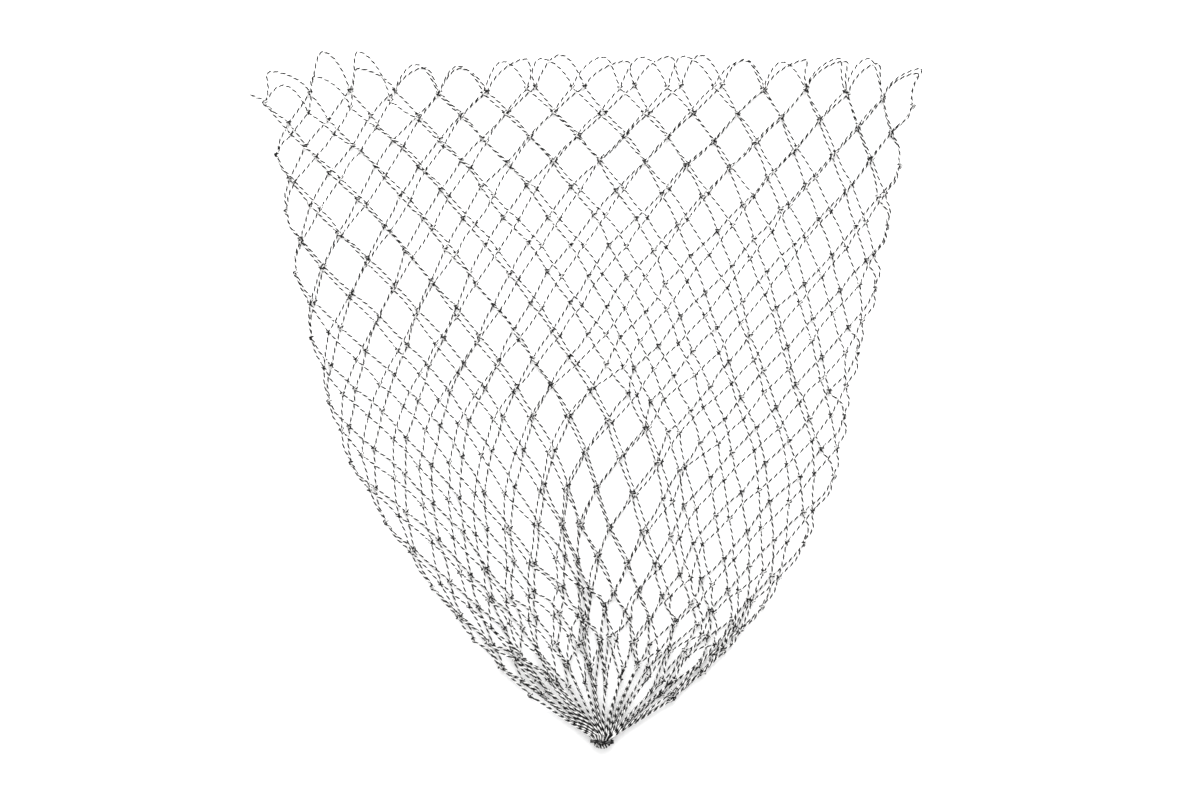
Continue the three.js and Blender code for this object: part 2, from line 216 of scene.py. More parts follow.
# The draw twine: half width and half height of its turns, their middle height and squareness, first and
# last y, how many there are, the points along them, and how far and over which share of their length the
# ends are tucked in.
TIE_WIDE, TIE_HIGH, TIE_MIDDLE, TIE_SQUARE = 7.9, 4.7, 5.53, 3
TIE_FIRST, TIE_LAST, TIE_TURNS, TIE_POINTS = -246.3, -248.5, 2, 190
TIE_TUCK, TIE_TUCK_SHARE = 0.16, 0.06

# Loose end of the net's twine at the upper left of the mouth, and the points along it.
LOOSE_END = np.array([
    (-229, 214, 3.5),
    (-229.3, 215.5, 3.6),
    (-231, 216.8, 3.0),
    (-234, 217.8, 1.7),
    (-237.5, 219.3, 1.0),
    (-240.4, 221.0, 0.9),
])
LOOSE_POINTS = 18

# Cross-section of the twine, as shares of half its thickness: two plies side by side, three points on
# each. It is first set square to a fixed direction that no strand follows.
PLY_TIP, PLY_SIDE = (1.0, 0.0), (0.56, 0.53)
TWINE_SECTION = np.array([
    PLY_TIP,
    PLY_SIDE,
    (-PLY_SIDE[0], PLY_SIDE[1]),
    (-PLY_TIP[0], PLY_TIP[1]),
    (-PLY_SIDE[0], -PLY_SIDE[1]),
    (PLY_SIDE[0], -PLY_SIDE[1]),
])
FIXED_DIRECTION = (0.31, 0.17, 1.0)

# The twine's map: rings in a tile, and the U at which the strands' half ends and the knots' half begins.
TWINE_UV = "OFBake"
TILE_RINGS = 16
KNOT_U = 0.5

# Sockets of the twine's shader group, and the places of the Mix node's sockets for colours, whose names it
# also gives to others.
GROUP_NAME = "two_ply_fibres"
GROUP_INPUTS = {
    "Dark ply": "NodeSocketColor",
    "Pale ply": "NodeSocketColor",
    "Fibre contrast": "NodeSocketFloat",
    # The two knot sockets paint shade into the knots: a wider dark ply and a darkened pale ply.
    "Knot spread": "NodeSocketFloat",
    "Knot shade": "NodeSocketFloat",
}
GROUP_OUTPUTS = {"Colour": "NodeSocketColor", "Roughness": "NodeSocketFloat", "Height": "NodeSocketFloat"}
MIX_SHARE, MIX_FIRST, MIX_SECOND, MIX_RESULT = 0, 6, 7, 2

# Fibres: how far their noise runs in the map's whole length, its scale, detail and roughness, how far it
# moves the plies' border, between which distances from the pale ply's middle that border lies, and the
# least roughness of the twine and what the fibres add.
FIBRE_ALONG, FIBRE_SCALE, FIBRE_DETAIL, FIBRE_ROUGHNESS = 5, 3.4, 3, 0.65
PLY_WANDER, PLY_BORDER = 0.12, (0.2, 0.23)
ROUGH_LEAST, ROUGH_SPAN = 0.45, 0.35

# Matt twine: contrast of its fibres, strength and depth in metres of their relief, reflection and sheen.
FIBRE_CONTRAST, RELIEF, RELIEF_DEPTH = 0.7, 0.5, 0.0002
TWINE_SPECULAR, SHEEN, SHEEN_ROUGHNESS = 0.12, 0.03, 0.5

# Stage, in metres: half the floor's side, its roughness and reflection, and the lamp's size, place and
# turn.
FLOOR_HALF, FLOOR_ROUGHNESS, FLOOR_SPECULAR = 4, 0.9, 0.1
LAMP_SIZE, LAMP_PLACE, LAMP_TURN = 1.5, (0, 1.1, 0.95), (-0.75, 0, 0)

# The photograph's frame: its width and the point under its middle. The camera's sensor, and how far it
# sees in metres.
VIEW_WIDTH, VIEW_X, VIEW_Y = 868.3, 13.0, -0.7
SENSOR, CAMERA_REACH = 36, 100


def unit(v):
    """Vectors along the last axis, each divided by its length."""
    return v / np.linalg.norm(v, axis=-1, keepdims=True)


def unit_or_zero(v):
    """Unit vectors, with zero ones left as they are."""
    return v / np.maximum(np.linalg.norm(v, axis=-1, keepdims=True), TINY)


def dot(a, b):
    """Scalar products along the last axis, which is kept."""
    return np.sum(a * b, axis=-1, keepdims=True)


def smoothstep(v, low, high):
    """3t^2 - 2t^3, where t runs from 0 at low to 1 at high."""
    t = np.clip((v - low) / (high - low), 0, 1)
    return t * t * (3 - 2 * t)


def signed_power(v, power):
    """The size of v to a power, with v's sign."""
    return np.sign(v) * np.abs(v) ** power


def smooth_at(table, step, row):
    """Catmull-Rom curve through the lines of a table that are step rows apart, for whole arrays of
    rows."""
    place = np.clip(row / step, 0, len(table) - 1)
    i = np.minimum(place.astype(int), len(table) - 2)
    s = (place - i)[..., None]
    lines = np.concatenate([2 * table[:1] - table[1:2], table, 2 * table[-1:] - table[-2:-1]])
    a, b, c, d = (lines[i + k] for k in range(4))
    return b + ((c - a) * s + (2 * a - 5 * b + 4 * c - d) * s**2 + (3 * b - a - 3 * c + d) * s**3) / 2


def uneven_at(row, turn, use):
    """A repeatable value from -1 to 1 for each knot: the fraction of a large multiple of a sine."""
    wave = np.sin(row * SCATTER_ROW + turn * SCATTER_TURN + use * SCATTER_USE) * SCATTER
    return 2 * (wave - np.floor(wave)) - 1


def closing(row):
    """How far the meshes have closed up, from 0 at CLOSING_FIRST to 1 at CLOSING_LAST."""
    return smoothstep(row, CLOSING_FIRST, CLOSING_LAST)


def across_at(turn):
    """Place of turns between the left fold at -1 and the right one at 1, on either layer."""
    return np.where(turn > FOLD, MESHES - turn, turn) / FOLD * 2 - 1


def by_layer(turn, back, front):
    """The back layer's value, the front layer's, or their mean on the folds."""
    return np.where(turn % FOLD == 0, (back + front) / 2, np.where(turn > FOLD, back, front))


def creased(across, row):
    """Moves places beside each crease towards it by pull * w * s * exp(-s^2), s being the distance in
    widths."""
    u = across
    for place, slant, width, pull, first, last, fade in CREASES:
        share = np.clip((row - first) / fade, 0, 1) * np.clip((last - row) / fade, 0, 1)
        s = (across - place - slant * (row - first)) / width
        u = u - pull * share * width * s * np.exp(-s * s)
    return u


def layer_shift(table, u, row):
    """Shift of a layer: straight from each of the SHIFT_AT places to the next, and even from the outer
    ones to the folds. Each step between two places is added by the share of it that u has passed."""
    shifts = smooth_at(table, SHIFT_STEP, row)
    total = shifts[..., 0:2]
    for i, (near, far) in enumerate(zip(SHIFT_AT, SHIFT_AT[1:])):
        passed = np.clip((u - near) / (far - near), 0, 1)[..., None]
        total = total + passed * (shifts[..., 2 * i + 2:2 * i + 4] - shifts[..., 2 * i:2 * i + 2])
    return total


def net_plan(row, turn):
    """Plan of the flat net: x runs between the folds as u(1 + c) - c u^3 + l(1 - u^2), where c is the
    crowding and l the lean, and y falls from the crest to the folds as the distance to the power of BOW.
    Each layer is moved by its shift, and every knot a little by chance."""
    u = creased(across_at(turn), row)
    lag = LONG_LAST * smoothstep(row, LONG_FIRST, ROWS - 1) * (row < ROWS)
    lag = lag * (1 + LONG_UNEVEN * uneven_at(row, turn, CHANCE_LAG))
    columns = np.moveaxis(smooth_at(STATIONS, STATION_STEP, row - lag), -1, 0)
    left_x, left_y, right_x, right_y, top, crest, crowd, lean = columns
    spread = u * (1 + crowd) - crowd * u**3 + lean * (1 - u * u)
    x = (left_x + right_x) / 2 + (right_x - left_x) / 2 * spread
    on_left = u < crest
    fall = (np.abs(u - crest) / np.where(on_left, 1 + crest, 1 - crest)) ** BOW
    y = top + (np.where(on_left, left_y, right_y) - top) * fall
    back_shift, front_shift = (layer_shift(table, u, row) for table in (BACK_SHIFTS, FRONT_SHIFTS))
    shift = np.where((turn > FOLD)[..., None], back_shift, front_shift)
    chance = np.stack([uneven_at(row, turn, CHANCE_X), uneven_at(row, turn, CHANCE_Y)], -1)
    chance *= ((UNEVEN + CLOSING_UNEVEN * closing(row)) * np.minimum(1, ROWS - row))[..., None]
    return np.stack([x, y], -1) + (shift + chance) * (1 - u**FOLD_HOLD)[..., None]


def net_knots():
    """Middles of all knots, row by row, with the last row's bights side by side at the entry of the neck.
    Returns their places, their turns, and how far each has risen towards the neck."""
    row = np.arange(ROWS + 1.0)[:, None] + np.zeros(MESHES)
    turn = (np.arange(MESHES) + 0.5 * (row % 2)) % MESHES
    rise = smoothstep(row, RISE_ROW, ROWS)
    low = BACK_KNOT + (BACK_BIGHT - BACK_KNOT) * rise
    high = FRONT_KNOT + (FRONT_BIGHT - FRONT_KNOT) * rise
    at = np.concatenate([net_plan(row, turn), by_layer(turn, low, high)[..., None]], -1)
    at[-1, :, 0] = NECK_X + NECK_SPREAD * across_at(turn[-1])
    at[-1, :, 1] = NECK_ENTRY
    return at, turn, rise


def mouth_loop(at, t):
    """Places on every mouth loop at shares t of its way from one knot of the first row to the next: a
    parabola of the loop's rise, leaning by a squared sine, and sagging by a sine."""
    start, end = at[0][:, None], np.roll(at[0], -1, axis=0)[:, None]
    rise = np.concatenate([LOOPS[:, 0], LOOPS[::-1, 2]])[:, None]
    lean = np.concatenate([LOOPS[:, 1], LOOPS[::-1, 3]])[:, None]
    path = start + (end - start) * t[:, None]
    path[..., 0] += lean * np.sin(np.pi * t) ** 2
    path[..., 1] += rise * (1 - (2 * t - 1) ** 2)
    path[..., 2] -= LOOP_SAG * np.sin(np.pi * t)
    return path


def knot_axes(turn, upward):
    """Axes of every knot: z out of the bag, or away from it on the folds, and y along upward as far as
    that is square to z. In the last row, whose bights stand in the neck, y is the net's own."""
    outward = np.zeros_like(upward)
    outward[..., 2] = np.where(turn > FOLD, -1, 1)
    outward[turn == 0] = (-1, 0, 0)
    outward[turn == FOLD] = (1, 0, 0)
    upward = unit(upward - outward * dot(upward, outward))
    axes = np.stack([np.cross(upward, outward), upward, outward], axis=2)
    axes[-1, :, 1] = (0, 1, 0)
    axes[-1, :, 0] = -outward[-1]
    axes[-1, :, 2] = np.cross(axes[-1, :, 0], axes[-1, :, 1])
    return axes


def knot_controls():
    """Control points of every bight and hitch: the knot's own shape, turned to its place in the net,
    between the ends of the strands that leave it. Returns bights for rows 0 to ROWS and hitches for rows
    0 to ROWS - 1."""
    at, turn, _ = net_knots()
    rows = np.arange(ROWS + 1)[:, None]
    left = (np.arange(MESHES) - 1 + rows % 2) % MESHES
    right = (np.arange(MESHES) + rows % 2) % MESHES
    above, below = np.maximum(rows - 1, 0), np.minimum(rows + 1, ROWS)
    up_left, up_right = (unit_or_zero(at[above, side] - at) for side in (left, right))
    down_left, down_right = (unit_or_zero(at[below, side] - at) for side in (left, right))
    near = mouth_loop(at, LOOP_NEAR)
    up_right[0] = unit(near[:, 0] - at[0])
    up_left[0] = unit(np.roll(near[:, 1], 1, axis=0) - at[0])
    axes = knot_axes(turn, up_left + up_right - down_left - down_right)

    middle = at.copy()
    across = (at[-1, :, 0] - NECK_X) / NECK_SPREAD
    middle[-1, :, 0] = NECK_X + TIP_SPREAD * across
    middle[-1, :, 1] = NECK_TIP + NECK_ROUND * across**2
    arms = [at + LEG * way for way in (up_left, up_right, down_left, down_right)]
    arms[0][-1] = at[-1] - BIGHT_SPLIT * axes[-1, :, 0]
    arms[1][-1] = at[-1] + BIGHT_SPLIT * axes[-1, :, 0]
    above_left, above_right, below_left, below_right = (arm[:, :, None] for arm in arms)
    bend = middle[:, :, None] + np.einsum("cj,rkjx->rkcx", BIGHT, axes)
    hitch = middle[:, :, None] + np.einsum("cj,rkjx->rkcx", HITCH, axes)
    bights = np.concatenate([above_left, bend, above_right], axis=2)
    hitches = np.concatenate([below_left, hitch, below_right], axis=2)
    return bights, hitches[:-1]


def strand(start, end, sag, bend):
    """Two control points at a third and two thirds of the way between strand ends, lowered by the sag and
    moved aside by the bend."""
    share = np.array([1, 2])[:, None] / 3
    points = start[:, :, None] + (end - start)[:, :, None] * share
    points[..., 2] -= sag[..., None]
    points[..., :2] += bend[:, :, None]
    return points


def strand_bend(row, turn, low_turn, use):
    """Sideways bend of strands, by their upper and lower knots' turns: chance in x and y, and outwards at
    the folds."""
    at_left = (turn == 0) | (low_turn == 0)
    at_right = (turn == FOLD) | (low_turn == FOLD)
    bend = np.stack([uneven_at(row, turn, use), uneven_at(row, turn, use + 1)], -1)
    bend *= (SWAY + CLOSING_SWAY * closing(row))[..., None]
    outwards = np.where(at_left, LEFT_BEND, np.where(at_right, RIGHT_BEND, 0))
    bend[..., 0] += outwards * (1 - closing(row))
    return bend * np.minimum(1, (ROWS - row) / BEND_FADE)[..., None]


def spline(points, cell, rings, knotted):
    """Closed uniform cubic B-spline through rows of control points that repeat in cells. rings lists, for
    each control point of a cell, the rings up to the next one. Returns the path, and along it the share
    that lies in a knot."""
    count = points.shape[1]
    which = np.repeat(np.arange(cell), rings)
    share = np.concatenate([np.arange(n) / n for n in rings])
    cells = count // cell
    i = (np.arange(cells)[:, None] * cell + which).ravel()
    t = np.tile(share, cells)
    weights = [(1 - t) ** 3, 3 * t**3 - 6 * t**2 + 4, -3 * t**3 + 3 * t**2 + 3 * t + 1, t**3]
    path = sum(w[:, None] / 6 * points[:, (i + k - 1) % count] for k, w in enumerate(weights))
    in_knot = sum(w / 6 * knotted[(i + k - 1) % cell] for k, w in enumerate(weights))
    return path, np.broadcast_to(in_knot, path.shape[:2])


def course(cells, knots, free_rings):
    """A closed course of twine through cells of control points. knots lists the first and the last
    control point of each knot in a cell, and free_rings are the rings between control points outside
    them. Returns what spline does."""
    cell = cells.shape[2]
    rings, knotted = np.full(cell, free_rings), np.zeros(cell)
    for first, last in knots:
        rings[first:last] = KNOT_RINGS
        knotted[first + 1:last] = 1
    return spline(cells.reshape(len(cells), -1, 3), cell, rings, knotted)


def row_courses(part, strand_rings):
    """The twine of the rows in a slice, each as one closed course: hitch, strand, bight and strand,
    thirty times round. Returns paths and their shares in knots, with one line for each row."""
    bights, hitches = knot_controls()
    _, turn, rise = net_knots()
    sag = by_layer(turn, BACK_SAG, FRONT_SAG) * (1 - rise)
    row = np.arange(ROWS)[:, None]
    below = (np.arange(MESHES) + row % 2) % MESHES
    bights, low_turn, low_sag = bights[row + 1, below], turn[row + 1, below], sag[row + 1, below]
    next_hitches, next_turn, next_sag = (np.roll(v, -1, axis=1) for v in (hitches, turn[:-1], sag[:-1]))
    down_bend = strand_bend(row, turn[:-1], low_turn, CHANCE_DOWN)
    up_bend = strand_bend(row, next_turn, low_turn, CHANCE_UP)
    down = strand(hitches[:, :, -1], bights[:, :, 0], (sag[:-1] + low_sag) / 2, down_bend)
    up = strand(bights[:, :, -1], next_hitches[:, :, 0], (next_sag + low_sag) / 2, up_bend)
    cells = np.concatenate([hitches, down, bights, up], axis=2)
    bight_first = hitches.shape[2] + down.shape[2]
    knots = [(0, hitches.shape[2] - 1), (bight_first, bight_first + bights.shape[2] - 1)]
    return course(cells[part], knots, strand_rings)


def loop_course():
    """The twine of the mouth: a bight in each knot of the first row and a free loop to the next, as a
    closed course."""
    bights, _ = knot_controls()
    at, _, _ = net_knots()
    cells = np.concatenate([bights[0], mouth_loop(at, LOOP_POINTS)], axis=1)
    return course(cells[None], [(0, bights.shape[2] - 1)], LOOP_RINGS)


def tie_turns():
    """Turns of the tie: a superellipse of exponent TIE_SQUARE in x and z, climbing evenly in y, both ends
    drawn in under the turns."""
    t = np.linspace(0, 1, TIE_POINTS)
    angle = np.pi / 2 + 2 * np.pi * TIE_TURNS * t
    ends = 1 - smoothstep(t, 0, TIE_TUCK_SHARE) + smoothstep(t, 1 - TIE_TUCK_SHARE, 1)
    tucked = 1 - TIE_TUCK * ends
    x = NECK_X + TIE_WIDE * tucked * signed_power(np.cos(angle), 2 / TIE_SQUARE)
    y = TIE_FIRST + (TIE_LAST - TIE_FIRST) * t
    z = TIE_MIDDLE + TIE_HIGH * tucked * signed_power(np.sin(angle), 2 / TIE_SQUARE)
    return np.stack([x, y, z], -1)[None]


def twine_surface(path, girth, thickness, lay, closed):
    """Two-ply twine carried along paths: the section turns left-handed once in each lay, on axes that are
    carried along without roll. The roll of the axes that a fixed direction gives is summed up and taken
    out again, and on a closed path the lay is stretched a little so that the plies meet. Each path's
    first section is turned by chance. Returns rings of points, one for each path point."""
    ahead = np.roll(path, -1, axis=1)
    length = np.linalg.norm(ahead - path, axis=-1)
    if closed:
        tangent = unit(ahead - np.roll(path, 1, axis=1))
    else:
        tangent = unit(np.gradient(path, axis=1))
        length[:, -1] = 0
    side = unit(np.cross(tangent, FIXED_DIRECTION))
    next_tangent, next_side = np.roll(tangent, -1, axis=1), np.roll(side, -1, axis=1)
    carried = side - dot(next_tangent, side) / (1 + dot(tangent, next_tangent)) * (tangent + next_tangent)
    slip = np.arctan2(dot(np.cross(carried, next_side), next_tangent), dot(carried, next_side))[..., 0]
    roll = slip - np.cumsum(slip, axis=1)
    whole = np.sum(length, axis=1, keepdims=True)
    turns = whole / lay
    if closed:
        spare = -np.sum(slip, axis=1, keepdims=True) / (2 * np.pi)
        turns = np.round(turns - spare) + spare
    start = np.pi * uneven_at(path[:, :1, 0], path[:, :1, 1], CHANCE_START)
    angle = start + roll - 2 * np.pi * turns * (np.cumsum(length, axis=1) - length) / whole
    across = np.cross(tangent, side)
    cos, sin = np.cos(angle)[..., None], np.sin(angle)[..., None]
    first, second = cos * side + sin * across, cos * across - sin * side
    section = TWINE_SECTION * thickness / 2
    rings = section[:, 0, None] * first[:, :, None] + section[:, 1, None] * second[:, :, None]
    return path[:, :, None] + girth[..., None, None] * rings


def twine_sides(in_knot, sides, closed):
    """Quads between neighbouring rings, and their map, which runs along the twine in tiles and once round
    it. Strands lie in the map's left half and knots in its right."""
    lines, count = in_knot.shape
    spans = np.arange(count if closed else count - 1)
    line, ring, corner = np.meshgrid(np.arange(lines), spans, np.arange(sides), indexing="ij")
    near = (line * count + ring) * sides
    far = (line * count + (ring + 1) % count) * sides
    corner_on = (corner + 1) % sides
    quads = np.stack([near + corner, near + corner_on, far + corner_on, far + corner], -1)
    u = (ring % TILE_RINGS) / TILE_RINGS * KNOT_U + np.where(in_knot[line, ring] > 0.5, KNOT_U, 0)
    u_on = u + KNOT_U / TILE_RINGS
    v, v_on = corner / sides, corner / sides + 1 / sides
    quad_map = np.stack([np.stack([u, u, u_on, u_on], -1), np.stack([v, v_on, v_on, v], -1)], -1)
    return quads.reshape(-1, 4), quad_map.reshape(-1, 2)


def twine_ends(points, path, sides):
    """Closes both ends of open twines with a fan of triangles about the path's end point. Returns all
    points, the triangles and their map, which lies in the middle of the strands' half."""
    lines, count = path.shape[:2]
    middles = np.stack([path[:, 0], path[:, -1]], axis=1).reshape(-1, 3)
    corner = np.arange(sides)
    near = np.arange(lines)[:, None] * count * sides + corner
    far = near + (count - 1) * sides
    hub = len(points) + 2 * np.arange(lines)[:, None] + np.zeros(sides, int)
    start = np.stack([hub, np.roll(near, -1, axis=1), near], -1)
    end = np.stack([hub + 1, far, np.roll(far, -1, axis=1)], -1)
    fans = np.concatenate([start.reshape(-1, 3), end.reshape(-1, 3)])
    v = np.tile(corner / sides, len(fans) // sides)
    u = np.full_like(v, KNOT_U / 2)
    here, next_corner = np.stack([u, v], -1), np.stack([u, v + 1 / sides], -1)
    fan_map = np.stack([here, next_corner, here], axis=1)
    return np.concatenate([points, middles]), fans, fan_map.reshape(-1, 2)


def twine_mesh(name, path, in_knot, sizes, closed):
    """A mesh of twine surfaces along paths: quads on their sides, and fans on open ends."""
    path = path * MM
    rings = twine_surface(path, 1 - KNOT_SQUEEZE * in_knot, sizes.thickness, sizes.lay, closed)
    points, sides = rings.reshape(-1, 3), rings.shape[2]
    quads, face_map = twine_sides(in_knot, sides, closed)
    corners, starts = quads.ravel(), np.arange(len(quads)) * quads.shape[1]
    if not closed:
        points, fans, fan_map = twine_ends(points, path, sides)
        starts = np.concatenate([starts, len(corners) + np.arange(len(fans)) * fans.shape[1]])
        corners = np.concatenate([corners, fans.ravel()])
        face_map = np.concatenate([face_map, fan_map])
    mesh = bpy.data.meshes.new(name)
    mesh.vertices.add(len(points))
    mesh.vertices.foreach_set("co", points.ravel())
    mesh.loops.add(len(corners))
    mesh.loops.foreach_set("vertex_index", corners.astype(np.int32))
    mesh.polygons.add(len(starts))
    mesh.polygons.foreach_set("loop_start", starts.astype(np.int32))
    mesh.update(calc_edges=True)
    mesh.polygons.foreach_set("use_smooth", np.ones(len(starts), bool))
    layer = mesh.uv_layers.new(name=TWINE_UV)
    layer.data.foreach_set("uv", face_map.ravel())
    mesh.validate()
    return mesh


def add_node(tree, kind, place, **values):
    """A node with its properties set."""
    node = tree.nodes.new(kind)
    node.location = place
    for name, value in values.items():
        setattr(node, name, value)
    return node


def set_inputs(node, **values):
    """Sets a node's input sockets, named with _ for each space."""
    for name, value in values.items():
        node.inputs[name.replace("_", " ")].default_value = value


def maths(tree, place, operation, first, second=None):
    """A Math node fed by sockets or numbers. Returns its output."""
    node = add_node(tree, "ShaderNodeMath", place, operation=operation)
    for socket, value in zip(node.inputs, (first, second)):
        if isinstance(value, bpy.types.NodeSocket):
            tree.links.new(value, socket)
        elif value is not None:
            socket.default_value = value
    return node.outputs[0]


def fibre_noise(tree, along, round_it):
    """Noise on the twine's own cylinder, drawn out along it. Returns its value."""
    angle = maths(tree, (-1000, -200), "MULTIPLY", round_it, 2 * np.pi)
    spot = add_node(tree, "ShaderNodeCombineXYZ", (-600, -200))
    tree.links.new(maths(tree, (-800, -100), "MULTIPLY", along, FIBRE_ALONG), spot.inputs[0])
    tree.links.new(maths(tree, (-800, -250), "COSINE", angle), spot.inputs[1])
    tree.links.new(maths(tree, (-800, -400), "SINE", angle), spot.inputs[2])
    noise = add_node(tree, "ShaderNodeTexNoise", (-400, -200))
    set_inputs(noise, Scale=FIBRE_SCALE, Detail=FIBRE_DETAIL, Roughness=FIBRE_ROUGHNESS)
    tree.links.new(spot.outputs[0], noise.inputs["Vector"])
    return noise.outputs[0]


def fibre_group():
    """Shader group of two-ply twine. Round the twine the map's V tells the plies apart: the pale one lies
    within a quarter turn of V = 0.5. In knots, where U is over KNOT_U, the dark ply takes more of the
    turn and the pale one is darkened: painted shade for the shadow among the crowded twine. Noise drawn
    out along the twine gives fibres, which change colour, roughness and height."""
    if GROUP_NAME in bpy.data.node_groups:
        return bpy.data.node_groups[GROUP_NAME]
    tree = bpy.data.node_groups.new(GROUP_NAME, "ShaderNodeTree")
    for way, sockets in (("INPUT", GROUP_INPUTS), ("OUTPUT", GROUP_OUTPUTS)):
        for title, kind in sockets.items():
            tree.interface.new_socket(title, in_out=way, socket_type=kind)
    given = add_node(tree, "NodeGroupInput", (-1400, 300)).outputs
    results = add_node(tree, "NodeGroupOutput", (700, 0)).inputs
    where = add_node(tree, "ShaderNodeUVMap", (-1400, -100), uv_map=TWINE_UV)
    split = add_node(tree, "ShaderNodeSeparateXYZ", (-1200, -100))
    tree.links.new(where.outputs["UV"], split.inputs[0])
    along, round_it = split.outputs[0], split.outputs[1]
    fibre = fibre_noise(tree, along, round_it)
    swing = maths(tree, (-600, 100), "SUBTRACT", fibre, 0.5)
    wander = maths(tree, (-400, 100), "MULTIPLY", swing, PLY_WANDER)
    off = maths(tree, (-800, 200), "ABSOLUTE", maths(tree, (-1000, 200), "SUBTRACT", round_it, 0.5))
    in_knot = maths(tree, (-800, 450), "GREATER_THAN", along, KNOT_U)
    # Painted shade in knots: the dark ply's share of the turn widens there by the knot spread input.
    spread = maths(tree, (-400, 300), "MULTIPLY", in_knot, given["Knot spread"])
    edge = maths(tree, (-200, 200), "ADD", off, maths(tree, (-200, 350), "ADD", wander, spread))
    pale = add_node(tree, "ShaderNodeMapRange", (0, 200))
    set_inputs(pale, From_Min=PLY_BORDER[0], From_Max=PLY_BORDER[1], To_Min=1, To_Max=0)
    tree.links.new(edge, pale.inputs["Value"])
    # Painted shade in knots: the pale ply is darkened there by the knot shade input.
    shade = maths(tree, (-600, 450), "MULTIPLY", in_knot, given["Knot shade"])
    kept = maths(tree, (-400, 450), "SUBTRACT", 1, shade)
    paleness = maths(tree, (0, 450), "MULTIPLY", pale.outputs[0], kept)
    plies = add_node(tree, "ShaderNodeMix", (200, 300), data_type="RGBA")
    tree.links.new(paleness, plies.inputs[MIX_SHARE])
    tree.links.new(given["Dark ply"], plies.inputs[MIX_FIRST])
    tree.links.new(given["Pale ply"], plies.inputs[MIX_SECOND])
    change = maths(tree, (0, -100), "MULTIPLY", swing, given["Fibre contrast"])
    gain = maths(tree, (200, -50), "ADD", change, 1)
    tint = add_node(tree, "ShaderNodeVectorMath", (450, 250), operation="SCALE")
    tree.links.new(plies.outputs[MIX_RESULT], tint.inputs[0])
    tree.links.new(gain, tint.inputs["Scale"])
    rough = maths(tree, (200, -200), "MULTIPLY", fibre, ROUGH_SPAN)
    tree.links.new(tint.outputs[0], results["Colour"])
    tree.links.new(maths(tree, (450, -50), "ADD", rough, ROUGH_LEAST), results["Roughness"])
    tree.links.new(fibre, results["Height"])
    return tree


def twine_material(name, look, pale):
    """Matt twine: the fibre group's colour, roughness and height, with a faint sheen of loose fibres."""
    if name in bpy.data.materials:
        return bpy.data.materials[name]
    material = bpy.data.materials.new(name)
    material.use_nodes = True
    tree = material.node_tree
    shader = tree.nodes["Principled BSDF"]
    set_inputs(shader, Specular_IOR_Level=TWINE_SPECULAR)
    set_inputs(shader, Sheen_Weight=SHEEN, Sheen_Roughness=SHEEN_ROUGHNESS)
    fibres = add_node(tree, "ShaderNodeGroup", (-500, 200), node_tree=fibre_group())
    set_inputs(fibres, Dark_ply=(*look.dark, 1), Pale_ply=(*pale, 1), Fibre_contrast=FIBRE_CONTRAST)
    # The knot inputs paint shade into the knots.
    set_inputs(fibres, Knot_spread=look.knot_spread, Knot_shade=look.knot_painted_shade)
    bump = add_node(tree, "ShaderNodeBump", (-250, -100))
    set_inputs(bump, Strength=RELIEF, Distance=RELIEF_DEPTH)
    tree.links.new(fibres.outputs["Colour"], shader.inputs["Base Color"])
    tree.links.new(fibres.outputs["Roughness"], shader.inputs["Roughness"])
    tree.links.new(fibres.outputs["Height"], bump.inputs["Height"])
    tree.links.new(bump.outputs["Normal"], shader.inputs["Normal"])
    return material


def add_piece(context, mesh, node, material):
    """Puts a finished mesh into the scene as a piece that stands for a node of the frame."""
    piece = bpy.data.objects.new(mesh.name, mesh)
    context.scene.collection.objects.link(piece)
    mesh.materials.append(material)
    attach(piece, BODY)
    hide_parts(node)


def add_net_piece(context, name, path, in_knot, closed):
    """Makes a piece of the net's own twine, one ply dark and one pale."""
    scene = context.scene
    mesh = twine_mesh(name, path, in_knot, scene.net_twine, closed)
    material = twine_material("black_and_white_twine", scene.net_look, scene.net_look.pale)
    add_piece(context, mesh, NET_NODE, material)


def add_floor(scene, look):
    """A flat square floor under the net, as a grid of u and v from -1 to 1."""
    u, v = np.meshgrid(np.linspace(-1, 1, 2), np.linspace(-1, 1, 2))
    corners = np.stack([u * FLOOR_HALF, v * FLOOR_HALF, np.zeros_like(u)], -1).reshape(-1, 3)
    mesh = bpy.data.meshes.new("floor")
    mesh.from_pydata(corners.tolist(), [], [(0, 1, 3, 2)])
    material = bpy.data.materials.new("pale_floor")
    material.use_nodes = True
    shader = material.node_tree.nodes["Principled BSDF"]
    set_inputs(shader, Base_Color=(*look.floor, 1), Roughness=FLOOR_ROUGHNESS)
    set_inputs(shader, Specular_IOR_Level=FLOOR_SPECULAR)
    set_inputs(shader, Emission_Color=(1, 1, 1, 1), Emission_Strength=look.glow)
    mesh.materials.append(material)
    floor = bpy.data.objects.new("floor", mesh)
    scene.collection.objects.link(floor)


def add_light(scene, look):
    """Even light from all sides, and a large lamp beyond the mouth."""
    world = bpy.data.worlds.new("even_light")
    world.use_nodes = True
    set_inputs(world.node_tree.nodes["Background"], Color=(1, 1, 1, 1), Strength=look.sky)
    scene.world = world
    lamp = bpy.data.lights.new("mouth_lamp", "AREA")
    lamp.energy, lamp.size = look.lamp, LAMP_SIZE
    holder = bpy.data.objects.new("mouth_lamp", lamp)
    holder.location, holder.rotation_euler = LAMP_PLACE, LAMP_TURN
    scene.collection.objects.link(holder)


def add_camera(scene, look):
    """A camera straight above, with a lens that takes in the photograph's frame from its height."""
    camera = bpy.data.cameras.new("camera_above")
    camera.sensor_fit, camera.sensor_width = "HORIZONTAL", SENSOR
    camera.lens = SENSOR * look.distance / (VIEW_WIDTH * MM)
    camera.clip_end = CAMERA_REACH
    viewer = bpy.data.objects.new("camera_above", camera)
    viewer.location = (VIEW_X * MM, VIEW_Y * MM, look.distance)
    scene.collection.objects.link(viewer)
    scene.camera = viewer
    scene.view_settings.view_transform = "Standard"


